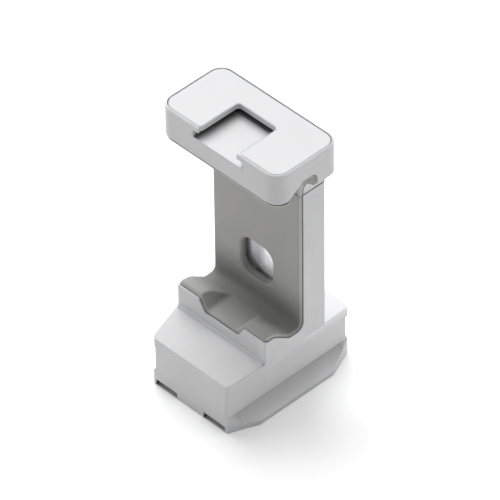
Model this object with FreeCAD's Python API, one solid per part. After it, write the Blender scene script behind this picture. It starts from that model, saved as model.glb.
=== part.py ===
import FreeCAD, Part
import math
import os

# Phone holder for a gimbal: a fixed body that stands on a dovetail foot, and an upper jaw that
# slides up on two sprung rods. Millimetres. +X runs along the jaws, +Z is up, and the phone's
# side faces -Y. The origin is the middle of the foot's underside.

# Base: neck, rim and dovetail foot
BASE_LENGTH = 46.6
NECK_CORNER = 1.0
RIM_OVERHANG = 0.4
RIM_HEIGHT = 2.95
RIM_TOP = 17.0
FOOT_WIDTH = 36.2
FOOT_EDGE = 1.55
FOOT_END_LENGTH = 9.1
FOOT_END_INSET = 3.77
GROOVE_WIDTH = 8.25
GROOVE_SPACING = 18.65
GROOVE_DEPTH = 2.0

# Fixed body: column, shelf and lower jaw
BODY_WIDTH = 34.1
SIDE_CHAMFER = 2.5
BODY_EDGE = 0.3
COLUMN_FRONT = 3.3
COLUMN_DEPTH = 8.5
COLUMN_TOP = 71.2
COLUMN_REAR_EDGE = 0.4
SHELF_Z = 23.3
SHELF_FILLET = 2.6
SHELF_DEPTH = 5.2
LIP_REACH = 14.6
LIP_RISE = 3.85
LIP_SLOPE_LENGTH = 5.6
LIP_BEND = 3.0
LIP_CREST_RISE = 0.1
LIP_EDGE = 0.45
LIP_FOOT_Z = 19.5
LEDGE_WIDTH = 0.6
LEDGE_HEIGHT = 0.9
LEDGE_INSET = 0.6
LEDGE_FILLET = 0.8
LEDGE_EDGE = 0.25
NOTCH_WIDTH = 12.6
NOTCH_LEAN = 0.65
NOTCH_CORNER = 1.5
WINDOW_WIDTH = 12.2
WINDOW_HEIGHT = 12.65
WINDOW_Z = 39.28
WINDOW_RADIUS = 4.0
FRONT_WALL = 1.2

# Rubber lining of both jaws
PAD_THICKNESS = 1.0
PAD_EDGE = 0.6
PAD_INSET = 0.2
PAD_SET_BACK = 0.5
PAD_LIP_THICKNESS = 1.5
PAD_NOSE = 1.1
PAD_WINDOW_WALL = 0.9
PAD_WINDOW_EDGE = 0.4

# Column's inside: disc behind the window, rear cover, spring bays
DISC_RADIUS = 13.4
DISC_THICKNESS = 1.0
DISC_Z = 33.7
DISC_CLEARANCE = 0.15
COVER_THICKNESS = 1.5
COVER_MARGIN = 2.15
COVER_BOTTOM = 19.6
COVER_TOP = 69.2
COVER_GAP = 0.1
COVER_CORNER = 2.0
COVER_BOSS_RADIUS = 5.0
HEAD_THICKNESS = 5.2
BAY_WIDTH = 4.6
BAY_BOTTOM = 19.6

# Upper jaw
SEAM_GAP = 0.3
JAW_GAP = 59.95
BLOCK_LENGTH = 45.3
BLOCK_DEPTH = 23.65
BLOCK_FRONT = -11.55
BLOCK_TOP = 88.9
JAW_LIP_RISE = 4.45
JAW_CREST_RISE = 0.6
JAW_PAD_LET_IN = 0.25
BLOCK_CORNER = 4.6
BLOCK_EDGE = 0.4
BLOCK_UNDER_EDGE = 0.4
PAD_SLIT = 0.4
PAD_SLIT_INSET = 1.2
PAD_SLIT_HEIGHT = 3.0

# Top plate and accessory shoe
PLATE_INSET = 0.8
PLATE_GAP = 0.22
PLATE_EDGE = 0.25
PLATE_THICKNESS = 1.65
SHOE_WIDTH = 18.6
SHOE_HEIGHT = 2.25
SHOE_OPENING_WIDTH = 14.6
SHOE_OPENING_LENGTH = 15.1
SHOE_UNDERCUT = 0.85
SHOE_CORNER = 1.6
SHOE_MOUTH_CORNER = 1.0

# Guide rods, bushes and springs
ROD_RADIUS = 1.2
ROD_INSET = 4.45
ROD_BOTTOM = 23.4
ROD_SOCKET = 9.5
BUSH_WALL = 0.8
RUNNING_CLEARANCE = 0.05
SEAT_CLEARANCE = 0.02
WASHER_RADIUS = 1.9
WASHER_THICKNESS = 0.8
WASHER_TOP = 26.0
CLIP_THICKNESS = 0.5
CLIP_RADIUS = 1.75
CLIP_GROOVE = 0.35
SPRING_WIRE = 0.5
SPRING_TURNS = 9
SPRING_STEPS = 8
SPRING_CLEARANCE = 0.17
SPRING_END_GAP = 0.05

# Screws
COVER_SCREW_RADIUS = 0.9
COVER_SCREW_LENGTH = 4.6
COVER_SCREW_HEAD_RADIUS = 1.6
COVER_SCREW_HEAD = 0.8
COVER_SCREW_SPACING = 12.0
COVER_SCREW_Z = 62.5
BASE_SCREW_RADIUS = 1.45
BASE_SCREW_HEAD_RADIUS = 2.6
BASE_SCREW_HEAD = 2.2
BASE_SCREW_TOP = 16.1
SCREW_CLEARANCE = 0.05
SCREW_FLATS = 12
DRIVE_DEPTH = 0.5

# Worked out from the above
RIM_WIDTH = BODY_WIDTH - 2 * SIDE_CHAMFER
RIM_BOTTOM = RIM_TOP - RIM_HEIGHT
NECK_WIDTH = RIM_WIDTH - 2 * RIM_OVERHANG
COVER_WIDTH = BODY_WIDTH - 2 * COVER_MARGIN
ROD_SPACING = BODY_WIDTH - 2 * ROD_INSET
COLUMN_REAR = COLUMN_FRONT + COLUMN_DEPTH
LIP_FRONT = COLUMN_FRONT - LIP_REACH
COVER_FRONT = COLUMN_REAR - COVER_THICKNESS
WALL_BACK = COLUMN_FRONT + FRONT_WALL
DISC_BACK = WALL_BACK + DISC_THICKNESS
ROD_Y = (DISC_BACK + COVER_FRONT) / 2
PAD_FRONT = LIP_FRONT + PAD_SET_BACK
HEAD_BOTTOM = COLUMN_TOP - HEAD_THICKNESS
NECK_BOTTOM = COLUMN_TOP + SEAM_GAP
CEILING_Z = SHELF_Z + JAW_GAP
BLOCK_REAR = BLOCK_FRONT + BLOCK_DEPTH
BLOCK_BOTTOM = CEILING_Z - JAW_LIP_RISE - JAW_PAD_LET_IN
PLATE_INNER = PLATE_INSET - PLATE_GAP
PLATE_BOTTOM = BLOCK_TOP - PLATE_THICKNESS
SHOE_FLOOR = PLATE_BOTTOM - SHOE_HEIGHT
FAR = 100.0

V = FreeCAD.Vector
X_AXIS = V(1, 0, 0)
Y_AXIS = V(0, 1, 0)
Z_AXIS = V(0, 0, 1)


def box(x0, x1, y0, y1, z0, z1):
    """Block between two corners."""
    return Part.makeBox(x1 - x0, y1 - y0, z1 - z0, V(x0, y0, z0))


def rod_along_z(radius, x, y, z0, z1):
    """Upright cylinder."""
    return Part.makeCylinder(radius, z1 - z0, V(x, y, z0), Z_AXIS)


def rod_along_y(radius, x, z, y0, y1):
    """Cylinder that points to the rear."""
    return Part.makeCylinder(radius, y1 - y0, V(x, y0, z), Y_AXIS)


def polygon(points):
    """Flat face with straight sides."""
    return Part.Face(Part.makePolygon(points + points[:1]))


def rounded_slab(width, y0, y1, z0, z1, radius):
    """Slab with rounded plan corners, centred on X."""
    slab = box(-width / 2, width / 2, y0, y1, z0, z1)
    return slab.makeFillet(radius, upright_edges(slab))


def upright_edges(shape):
    """Edges that run along Z."""
    return [e for e in shape.Edges if abs(abs(e.tangentAt(e.FirstParameter).z) - 1) < 1e-6]


def upright_above(shape, z):
    """Upright edges that start at a height or above it."""
    return [e for e in upright_edges(shape) if e.BoundBox.ZMin > z - 0.01]


def edges_in(shape, low, high):
    """Edges whose box lies inside the box from low to high."""
    found = []
    for edge in shape.Edges:
        b = edge.BoundBox
        inside = b.XMin > low[0] and b.YMin > low[1] and b.ZMin > low[2]
        if inside and b.XMax < high[0] and b.YMax < high[1] and b.ZMax < high[2]:
            found.append(edge)
    return found


def fused(shapes):
    """One solid from several that touch."""
    whole = shapes[0]
    for shape in shapes[1:]:
        whole = whole.fuse(shape)
    return whole.removeSplitter()


def mirrored(shape):
    """The same piece on the other side of the holder."""
    return shape.mirror(V(0, 0, 0), X_AXIS)


def rounded_path(points, radii):
    """Edges through points, with an arc of the given radius at each inner one."""
    edges = []
    start = points[0]
    for before, corner, after, radius in zip(points, points[1:], points[2:], radii):
        back = (before - corner).normalize()
        onward = (after - corner).normalize()
        inward = (back + onward).normalize()
        half = back.getAngle(onward) / 2
        arc_in = corner + back * (radius / math.tan(half))
        arc_mid = corner + inward * (radius / math.sin(half) - radius)
        arc_out = corner + onward * (radius / math.tan(half))
        edges.append(Part.makeLine(start, arc_in))
        edges.append(Part.Arc(arc_in, arc_mid, arc_out).toShape())
        start = arc_out
    edges.append(Part.makeLine(start, points[-1]))
    return edges


def cradle(flip, wall_end, front_y, rise, crest_rise):
    """Cradle's corners in the Y-Z plane, from wall_end on the column's face to the lip at front_y.

    flip is 1 for the lower jaw, and -1 for the upper jaw, which faces it.
    """
    shelf = SHELF_Z if flip > 0 else CEILING_Z
    toe = COLUMN_FRONT - SHELF_DEPTH
    return [
        V(0, COLUMN_FRONT, wall_end),
        V(0, COLUMN_FRONT, shelf),
        V(0, toe, shelf),
        V(0, toe - LIP_SLOPE_LENGTH, shelf + flip * (rise - crest_rise)),
        V(0, front_y, shelf + flip * rise),
    ]


def section(edges, corners):
    """Face in the Y-Z plane from a chain of edges, closed by straight sides through corners."""
    sides = [Part.makeLine(a, b) for a, b in zip(corners, corners[1:])]
    return Part.Face(Part.Wire(Part.__sortEdges__(edges + sides)))


def across(face, width):
    """Extrudes a face in the Y-Z plane to both sides of the middle."""
    moved = face.copy()
    moved.translate(V(-width / 2, 0, 0))
    return moved.extrude(V(width, 0, 0))


def lower_section():
    """Side view of the column and the lip down to the rim, as one face."""
    line = cradle(1, COLUMN_TOP, LIP_FRONT, LIP_RISE, LIP_CREST_RISE) + [V(0, LIP_FRONT, RIM_TOP)]
    edges = rounded_path(line, [SHELF_FILLET, LIP_BEND, LIP_BEND, LIP_EDGE])
    return section(edges, [line[-1], V(0, COLUMN_REAR, RIM_TOP), V(0, COLUMN_REAR, COLUMN_TOP), line[0]])


def nose():
    """Wedge in front of the lip, down to the rim's front edge."""
    outline = [
        V(0, -BASE_LENGTH / 2, RIM_TOP), V(0, COLUMN_FRONT, RIM_TOP), V(0, COLUMN_FRONT, LIP_FOOT_Z),
        V(0, LIP_FRONT, LIP_FOOT_Z),
    ]
    return across(polygon(outline), BODY_WIDTH)


def ledge():
    """Low ledge along the lip's foot, which runs out into the nose."""
    fall = (LIP_FOOT_Z - RIM_TOP) / (LIP_FRONT + BASE_LENGTH / 2)
    front = LIP_FRONT - LEDGE_WIDTH
    foot = LIP_FOOT_Z - LEDGE_WIDTH * fall
    end = V(0, front - 3 * LEDGE_FILLET, foot - 3 * LEDGE_FILLET * fall)
    line = [
        V(0, COLUMN_FRONT, LIP_FOOT_Z + LEDGE_HEIGHT), V(0, front, LIP_FOOT_Z + LEDGE_HEIGHT),
        V(0, front, foot), end,
    ]
    edges = rounded_path(line, [LEDGE_EDGE, LEDGE_FILLET])
    face = section(edges, [end, V(0, end.y, RIM_TOP), V(0, COLUMN_FRONT, RIM_TOP), line[0]])
    return across(face, BODY_WIDTH - 2 * LEDGE_INSET)


def notch(lining):
    """Cutter for the gap in the lip, smaller by the lining that covers its walls."""
    slope = math.sqrt(1 + NOTCH_LEAN ** 2)
    low = SHELF_Z + lining
    foot = NOTCH_WIDTH / 2 + lining * NOTCH_LEAN - lining * slope
    high = low + 2 * LIP_RISE
    head = foot + 2 * LIP_RISE * NOTCH_LEAN
    y = COLUMN_FRONT - SHELF_DEPTH
    line = [V(-head, y, high), V(-foot, y, low), V(foot, y, low), V(head, y, high)]
    edges = rounded_path(line, [NOTCH_CORNER, NOTCH_CORNER])
    return section(edges, [line[-1], line[0]]).extrude(V(0, -FAR, 0))


def flank():
    """Room between the body's sides, which lean in to the rim below the chamfer."""
    rim = RIM_WIDTH / 2
    side = BODY_WIDTH / 2
    z = RIM_TOP + SIDE_CHAMFER
    outline = [
        V(-rim, -FAR, RIM_TOP), V(rim, -FAR, RIM_TOP), V(side, -FAR, z),
        V(side, -FAR, FAR), V(-side, -FAR, FAR), V(-side, -FAR, z),
    ]
    return polygon(outline).extrude(V(0, 2 * FAR, 0))


def side_line(solid, width, y0, y1, z0, z1):
    """Edges in both side faces, between two depths and two heights."""
    found = []
    for x in (-width / 2, width / 2):
        found += edges_in(solid, (x - 0.01, y0, z0), (x + 0.01, y1, z1))
    return found


def upright_at(solid, y):
    """Upright edges at one depth."""
    return [e for e in upright_edges(solid) if abs(e.CenterOfMass.y - y) < 0.01]


def lower_solid():
    """Column and lip, before they are hollowed, with their outer edges broken."""
    solid = across(lower_section(), BODY_WIDTH)
    solid = solid.makeChamfer(COLUMN_REAR_EDGE, upright_at(solid, COLUMN_REAR))
    front = side_line(solid, BODY_WIDTH, LIP_FRONT - 0.01, COLUMN_FRONT + 0.01, RIM_TOP - 0.01, FAR)
    return solid.makeChamfer(BODY_EDGE, front)


def window(grow, y0, y1):
    """Cutter for the rounded window."""
    w = WINDOW_WIDTH / 2 + grow
    h = WINDOW_HEIGHT / 2 + grow
    block = box(-w, w, y0, y1, WINDOW_Z - h, WINDOW_Z + h)
    along_y = [e for e in block.Edges if abs(abs(e.tangentAt(e.FirstParameter).y) - 1) < 1e-6]
    return block.makeFillet(WINDOW_RADIUS + grow, along_y)


def cover_plate(grow, rear):
    """Rear cover's plate, or with grow its recess, up to the depth rear."""
    half = COVER_WIDTH / 2 + grow
    plate = box(-half, half, COVER_FRONT, rear, COVER_BOTTOM - grow, COVER_TOP + grow)
    along_y = [e for e in plate.Edges if abs(abs(e.tangentAt(e.FirstParameter).y) - 1) < 1e-6]
    return plate.makeFillet(COVER_CORNER + grow, along_y)


def screw_places():
    """X and Z of the two cover screws."""
    return [(-COVER_SCREW_SPACING / 2, COVER_SCREW_Z), (COVER_SCREW_SPACING / 2, COVER_SCREW_Z)]


def base_screw_places():
    """X and Y of the screws, one in the middle of each of the foot's grooves."""
    return [(-GROOVE_SPACING / 2, 0), (GROOVE_SPACING / 2, 0)]


def make_base_block():
    """Neck and dovetail foot, one moulding, with two grooves along its underside."""
    neck = NECK_WIDTH / 2
    foot = FOOT_WIDTH / 2
    front = -BASE_LENGTH / 2
    rear = BASE_LENGTH / 2 - RIM_OVERHANG
    slope_top = FOOT_EDGE + foot - neck
    outline = [
        V(-foot, front, 0), V(foot, front, 0), V(foot, front, FOOT_EDGE), V(neck, front, slope_top),
        V(neck, front, RIM_BOTTOM), V(-neck, front, RIM_BOTTOM), V(-neck, front, slope_top),
        V(-foot, front, FOOT_EDGE),
    ]
    block = polygon(outline).extrude(V(0, rear - front, 0))
    block = block.makeFillet(NECK_CORNER, upright_above(block, slope_top))
    end = foot - FOOT_END_INSET
    plan = [
        V(end, front, 0), V(foot, front + FOOT_END_LENGTH, 0), V(foot, rear - FOOT_END_LENGTH, 0),
        V(end, rear, 0), V(-end, rear, 0), V(-foot, rear - FOOT_END_LENGTH, 0),
        V(-foot, front + FOOT_END_LENGTH, 0), V(-end, front, 0),
    ]
    block = block.common(polygon(plan).extrude(V(0, 0, RIM_BOTTOM)))
    for x in (-GROOVE_SPACING / 2, GROOVE_SPACING / 2):
        half = GROOVE_WIDTH / 2
        block = block.cut(box(x - half, x + half, -FAR, FAR, -1, GROOVE_DEPTH))
    for x, y in base_screw_places():
        seat = GROOVE_DEPTH + BASE_SCREW_HEAD + 2 * SCREW_CLEARANCE
        block = block.cut(rod_along_z(BASE_SCREW_HEAD_RADIUS + SCREW_CLEARANCE, x, y, 0, seat))
        block = block.cut(rod_along_z(BASE_SCREW_RADIUS + SCREW_CLEARANCE, x, y, 0, FAR))
    return block


def nose_corner():
    """What the rim's rounded front corner leaves off the nose, on the right side."""
    x = RIM_WIDTH / 2 - NECK_CORNER
    y = NECK_CORNER - BASE_LENGTH / 2
    corner = box(x, FAR, -FAR, y, RIM_BOTTOM, FAR)
    return corner.cut(rod_along_z(NECK_CORNER, x, y, 0, FAR))


def make_body_shell():
    """Rim, wedge, lip and column in one moulding, hollowed from the rear."""
    rim = rounded_slab(RIM_WIDTH, -BASE_LENGTH / 2, BASE_LENGTH / 2, RIM_BOTTOM, RIM_TOP, NECK_CORNER)
    upper = fused([lower_solid().cut(notch(0)), nose(), ledge()]).common(flank())
    shell = fused([rim, upper.cut(nose_corner()).cut(mirrored(nose_corner()))])
    bay_middle = ROD_SPACING / 2
    for side in (-1, 1):
        low = side * bay_middle - BAY_WIDTH / 2
        shell = shell.cut(box(low, low + BAY_WIDTH, DISC_BACK, FAR, BAY_BOTTOM, HEAD_BOTTOM))
        bush = rod_along_z(ROD_RADIUS + BUSH_WALL, side * bay_middle, ROD_Y, HEAD_BOTTOM - 1, FAR)
        shell = shell.cut(bush)
    shell = shell.cut(rod_along_y(DISC_RADIUS + DISC_CLEARANCE, 0, DISC_Z, WALL_BACK, FAR))
    shell = shell.cut(cover_plate(COVER_GAP, FAR))
    shell = shell.cut(window(PAD_WINDOW_WALL, -FAR, DISC_BACK))
    for x, z in screw_places():
        end = COVER_FRONT - COVER_SCREW_LENGTH
        shell = shell.cut(rod_along_y(COVER_SCREW_RADIUS + SCREW_CLEARANCE, x, z, end, FAR))
    for x, y in base_screw_places():
        shell = shell.cut(rod_along_z(BASE_SCREW_RADIUS + SCREW_CLEARANCE, x, y, 0, BASE_SCREW_TOP + 0.2))
    return shell


def make_grip_pad():
    """Rubber lining of the column's face, the shelf and the lip, turned in round the window."""
    extra = PAD_LIP_THICKNESS - PAD_THICKNESS
    line = cradle(1, COLUMN_TOP, LIP_FRONT, LIP_RISE + extra, LIP_CREST_RISE + extra)
    corners = [
        line[-1], V(0, LIP_FRONT, RIM_TOP), V(0, COLUMN_REAR, RIM_TOP),
        V(0, COLUMN_REAR, COLUMN_TOP), line[0],
    ]
    core = section(rounded_path(line, [SHELF_FILLET, LIP_BEND, LIP_BEND]), corners)
    width = BODY_WIDTH - 2 * PAD_INSET
    pad = across(core.makeOffset2D(PAD_THICKNESS), width)
    pad = pad.common(box(-FAR, FAR, PAD_FRONT, COLUMN_FRONT, SHELF_Z, COLUMN_TOP))
    nose = [e for e in pad.Edges if e.BoundBox.YMax < PAD_FRONT + 0.01 and e.BoundBox.ZMin > SHELF_Z + 1]
    pad = pad.makeFillet(PAD_NOSE, nose)
    rim = side_line(pad, width, PAD_FRONT - 0.01, COLUMN_FRONT - 0.01, SHELF_Z - 0.01, FAR)
    pad = pad.makeChamfer(PAD_EDGE, rim)
    pad = pad.cut(notch(PAD_THICKNESS)).cut(across(lower_section(), FAR).cut(notch(0)))
    wall = window(PAD_WINDOW_WALL, COLUMN_FRONT - PAD_THICKNESS / 2, WALL_BACK)
    pad = fused([pad, wall]).cut(window(0, -FAR, FAR))
    face = COLUMN_FRONT - PAD_THICKNESS
    low = (-FAR, face - 0.01, WINDOW_Z - WINDOW_HEIGHT)
    high = (FAR, face + 0.01, WINDOW_Z + WINDOW_HEIGHT)
    mouth = edges_in(pad, low, high)
    return pad.makeChamfer(PAD_WINDOW_EDGE, mouth)


def make_window_disc():
    """Spun metal disc that closes the window from behind."""
    return rod_along_y(DISC_RADIUS, 0, DISC_Z, WALL_BACK, DISC_BACK)


def make_rear_cover():
    """Plain cover with a round boss that presses on the disc."""
    boss = rod_along_y(COVER_BOSS_RADIUS, 0, DISC_Z, DISC_BACK, COVER_FRONT)
    cover = fused([cover_plate(0, COLUMN_REAR), boss])
    for x, z in screw_places():
        seat = COLUMN_REAR - COVER_SCREW_HEAD
        cover = cover.cut(rod_along_y(COVER_SCREW_HEAD_RADIUS + SCREW_CLEARANCE, x, z, seat, FAR))
        cover = cover.cut(rod_along_y(COVER_SCREW_RADIUS + SCREW_CLEARANCE, x, z, 0, FAR))
    return cover


def bar(radius, sides, z0, z1):
    """Upright bar with flat sides, whose corners lie on the radius."""
    turns = [2 * math.pi * i / sides for i in range(sides)]
    corners = [V(radius * math.cos(t), radius * math.sin(t), z0) for t in turns]
    return polygon(corners).extrude(V(0, 0, z1 - z0))


def screw(radius, length, head_radius, head):
    """Screw that points up from its head's outer face at the origin, with a hexagonal socket."""
    whole = fused([bar(head_radius, SCREW_FLATS, 0, head), bar(radius, SCREW_FLATS, head, length)])
    return whole.cut(bar(head_radius / 2, 6, 0, DRIVE_DEPTH))


def make_cover_screws():
    """Two pan head screws in the rear cover."""
    screws = []
    length = COVER_THICKNESS - SCREW_CLEARANCE + COVER_SCREW_LENGTH
    for x, z in screw_places():
        one = screw(COVER_SCREW_RADIUS, length, COVER_SCREW_HEAD_RADIUS, COVER_SCREW_HEAD - SCREW_CLEARANCE)
        one.rotate(V(0, 0, 0), X_AXIS, 90)
        one.translate(V(x, COLUMN_REAR - SCREW_CLEARANCE, z))
        screws.append(one)
    return Part.makeCompound(screws)


def make_base_screws():
    """Two screws that hold the base to the body, with their heads up inside the foot's grooves."""
    screws = []
    head_z = GROOVE_DEPTH + SCREW_CLEARANCE
    for x, y in base_screw_places():
        one = screw(BASE_SCREW_RADIUS, BASE_SCREW_TOP - head_z, BASE_SCREW_HEAD_RADIUS, BASE_SCREW_HEAD)
        one.translate(V(x, y, head_z))
        screws.append(one)
    return Part.makeCompound(screws)


def make_guide_bush():
    """Plain bush in the column's head, on the right side."""
    x = ROD_SPACING / 2
    outer = rod_along_z(ROD_RADIUS + BUSH_WALL - SEAT_CLEARANCE, x, ROD_Y, HEAD_BOTTOM, COLUMN_TOP - 0.1)
    return outer.cut(rod_along_z(ROD_RADIUS + RUNNING_CLEARANCE, x, ROD_Y, 0, FAR))


def make_spring():
    """Compression spring of square wire between the column's head and the washer, on the right side.

    The wire runs in straight steps, so its two upright faces are flat and its other two are folded.
    """
    inner = ROD_RADIUS + SPRING_CLEARANCE
    outer = inner + SPRING_WIRE
    low = WASHER_TOP + SPRING_END_GAP
    steps = SPRING_TURNS * SPRING_STEPS
    rise = (HEAD_BOTTOM - SPRING_END_GAP - SPRING_WIRE - low) / steps
    ends = []
    for i in range(steps + 1):
        turn = 2 * math.pi * i / SPRING_STEPS
        side = V(math.cos(turn), math.sin(turn), 0)
        base = V(ROD_SPACING / 2, ROD_Y, low + i * rise)
        lift = V(0, 0, SPRING_WIRE)
        near = base + side * inner
        far = base + side * outer
        ends.append([near, far, far + lift, near + lift])
    faces = [polygon(ends[0]), polygon(ends[-1])]
    for a, b in zip(ends, ends[1:]):
        faces += [polygon([a[1], a[2], b[2], b[1]]), polygon([a[3], a[0], b[0], b[3]])]
        faces += [polygon([a[0], a[1], b[1]]), polygon([a[0], b[1], b[0]])]
        faces += [polygon([a[2], a[3], b[3]]), polygon([a[2], b[3], b[2]])]
    return Part.Solid(Part.Shell(faces))


def make_guide_rod():
    """Steel rod that is pressed into the upper jaw and runs in the bush, on the right side."""
    x = ROD_SPACING / 2
    rod = rod_along_z(ROD_RADIUS, x, ROD_Y, ROD_BOTTOM, NECK_BOTTOM + ROD_SOCKET)
    groove_top = WASHER_TOP - WASHER_THICKNESS
    groove = rod_along_z(ROD_RADIUS + 1, x, ROD_Y, groove_top - CLIP_THICKNESS, groove_top)
    groove = groove.cut(rod_along_z(ROD_RADIUS - CLIP_GROOVE, x, ROD_Y, 0, FAR))
    return rod.cut(groove)


def make_spring_washer():
    """Washer under the spring, on the right side."""
    x = ROD_SPACING / 2
    disc = rod_along_z(WASHER_RADIUS, x, ROD_Y, WASHER_TOP - WASHER_THICKNESS, WASHER_TOP)
    return disc.cut(rod_along_z(ROD_RADIUS + SEAT_CLEARANCE, x, ROD_Y, 0, FAR))


def make_rod_clip():
    """Open clip that snaps into the rod's groove and carries the washer, on the right side."""
    x = ROD_SPACING / 2
    top = WASHER_TOP - WASHER_THICKNESS
    disc = rod_along_z(CLIP_RADIUS, x, ROD_Y, top - CLIP_THICKNESS, top)
    neck = ROD_RADIUS - CLIP_GROOVE + SEAT_CLEARANCE
    disc = disc.cut(rod_along_z(neck, x, ROD_Y, 0, FAR))
    return disc.cut(box(x - neck * 0.8, x + neck * 0.8, ROD_Y, FAR, 0, FAR))


def flare():
    """Upper jaw's neck seen from the front: the column's width, flaring out to the block."""
    side = BODY_WIDTH / 2
    reach = BLOCK_LENGTH / 2 - side - BLOCK_UNDER_EDGE
    height = BLOCK_BOTTOM - NECK_BOTTOM
    low = [V(s * side, 0, NECK_BOTTOM) for s in (1, -1)]
    mid = [V(s * (side + 0.29 * reach), 0, NECK_BOTTOM + 0.68 * height) for s in (1, -1)]
    high = [V(s * (side + reach), 0, BLOCK_BOTTOM) for s in (1, -1)]
    top = [V(s * (side + reach), 0, SHOE_FLOOR) for s in (1, -1)]
    edges = [
        Part.makeLine(low[1], low[0]),
        Part.Arc(low[0], mid[0], high[0]).toShape(),
        Part.makeLine(high[0], top[0]),
        Part.makeLine(top[0], top[1]),
        Part.makeLine(top[1], high[1]),
        Part.Arc(high[1], mid[1], low[1]).toShape(),
    ]
    return Part.Face(Part.Wire(edges))


def neck_prism(y0, y1):
    """The flare between two depths."""
    face = flare()
    face.translate(V(0, y0, 0))
    return face.extrude(V(0, y1 - y0, 0))


def upper_section():
    """Upper jaw's side view, whose cradle faces the lower jaw's."""
    line = cradle(-1, NECK_BOTTOM, BLOCK_FRONT, JAW_LIP_RISE, JAW_CREST_RISE)
    edges = rounded_path(line, [SHELF_FILLET, LIP_BEND, LIP_BEND])
    corners = [
        line[-1], V(0, BLOCK_FRONT, BLOCK_TOP), V(0, BLOCK_REAR, BLOCK_TOP), V(0, BLOCK_REAR, NECK_BOTTOM),
        V(0, COLUMN_FRONT, NECK_BOTTOM),
    ]
    return section(edges, corners)


def make_jaw_block():
    """Upper jaw: block with the shoe's channel, flared neck and sockets for the rods."""
    block = rounded_slab(BLOCK_LENGTH, BLOCK_FRONT, BLOCK_REAR, BLOCK_BOTTOM, BLOCK_TOP, BLOCK_CORNER)
    plan = rounded_slab(BLOCK_LENGTH, BLOCK_FRONT, BLOCK_REAR, NECK_BOTTOM, BLOCK_TOP, BLOCK_CORNER)
    top_rim = [e for e in block.Edges if e.BoundBox.ZMin > BLOCK_TOP - 0.01]
    block = block.makeChamfer(BLOCK_EDGE, top_rim)
    under_rim = [e for e in block.Edges if e.BoundBox.ZMax < BLOCK_BOTTOM + 0.01]
    block = block.makeChamfer(BLOCK_UNDER_EDGE, under_rim)
    block = block.common(across(upper_section(), FAR))
    neck = neck_prism(COLUMN_FRONT, COLUMN_REAR)
    neck = neck.makeChamfer(COLUMN_REAR_EDGE, upright_rear_below(neck))
    jaw = fused([block, neck.common(across(upper_section(), FAR)).common(plan)])
    y0 = BLOCK_FRONT + PLATE_INNER
    y1 = BLOCK_REAR - PLATE_INNER
    width = BLOCK_LENGTH - 2 * PLATE_INNER
    jaw = jaw.cut(rounded_slab(width, y0, y1, PLATE_BOTTOM, FAR, BLOCK_CORNER - PLATE_INNER))
    back = BLOCK_FRONT + SHOE_OPENING_LENGTH
    y0 = BLOCK_FRONT - 2 * SHOE_CORNER
    jaw = jaw.cut(rounded_slab(SHOE_WIDTH, y0, back + SHOE_UNDERCUT, SHOE_FLOOR, PLATE_BOTTOM, SHOE_CORNER))
    half = SHOE_OPENING_WIDTH / 2
    jaw = jaw.cut(box(-half, half, BLOCK_FRONT - 1, back, SHOE_FLOOR, FAR))
    for side in (-1, 1):
        x = side * ROD_SPACING / 2
        socket = rod_along_z(ROD_RADIUS + SEAT_CLEARANCE, x, ROD_Y, 0, NECK_BOTTOM + ROD_SOCKET)
        jaw = jaw.cut(socket)
    return jaw


def upright_rear_below(neck):
    """Rear edges of the neck's flare."""
    found = []
    for edge in neck.Edges:
        b = edge.BoundBox
        at_rear = b.YMin > COLUMN_REAR - 0.01
        off_middle = min(abs(b.XMin), abs(b.XMax)) > BODY_WIDTH / 2 - 0.01
        if at_rear and off_middle and b.ZMax < BLOCK_BOTTOM + 0.01:
            found.append(edge)
    return found


def make_jaw_pad():
    """Rubber lining of the upper jaw and of the neck's face down to the seam."""
    section_face = upper_section()
    outer = across(section_face.makeOffset2D(PAD_THICKNESS), FAR)
    reach = box(-FAR, FAR, BLOCK_FRONT + BLOCK_UNDER_EDGE, COLUMN_FRONT, NECK_BOTTOM, CEILING_Z + 1)
    pad = outer.common(reach).cut(across(section_face, FAR))
    width = BLOCK_LENGTH - 2 * BLOCK_UNDER_EDGE
    corner = BLOCK_CORNER - BLOCK_UNDER_EDGE
    plan = rounded_slab(width, BLOCK_FRONT + BLOCK_UNDER_EDGE, BLOCK_REAR, 0, FAR, corner)
    jaw_part = pad.common(plan).common(box(-FAR, FAR, -FAR, FAR, BLOCK_BOTTOM - PAD_THICKNESS - 0.5, FAR))
    face = COLUMN_FRONT - PAD_THICKNESS
    below = box(-FAR, FAR, face - 0.01, FAR, 0, BLOCK_BOTTOM)
    jaw_part = jaw_part.cut(below)
    strip = pad.common(box(-FAR, FAR, face - 0.01, FAR, 0, BLOCK_BOTTOM)).common(neck_prism(0, FAR))
    whole = fused([jaw_part, strip])
    for side in (-1, 1):
        low = BODY_WIDTH / 2 + PAD_SLIT_INSET
        slit = box(low, FAR, COLUMN_FRONT - PAD_SLIT, FAR, 0, BLOCK_BOTTOM + PAD_SLIT_HEIGHT)
        whole = whole.cut(slit if side > 0 else mirrored(slit))
    return whole


def make_top_plate():
    """Metal plate set into the block's top, whose opening leaves the shoe's two rails."""
    front = BLOCK_FRONT + PLATE_INSET
    rear = BLOCK_REAR - PLATE_INSET
    width = BLOCK_LENGTH - 2 * PLATE_INSET
    plate = rounded_slab(width, front, rear, PLATE_BOTTOM, BLOCK_TOP, BLOCK_CORNER - PLATE_INSET)
    back = BLOCK_FRONT + SHOE_OPENING_LENGTH
    half = SHOE_OPENING_WIDTH / 2
    plate = plate.cut(box(-half, half, -FAR, back, 0, FAR))
    corners = [e for e in upright_edges(plate) if abs(abs(e.CenterOfMass.x) - half) < 0.01]
    plate = plate.makeFillet(SHOE_MOUTH_CORNER, corners)
    top = [e for e in plate.Edges if e.BoundBox.ZMin > BLOCK_TOP - 0.01]
    return plate.makeChamfer(PLATE_EDGE, top)


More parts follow.
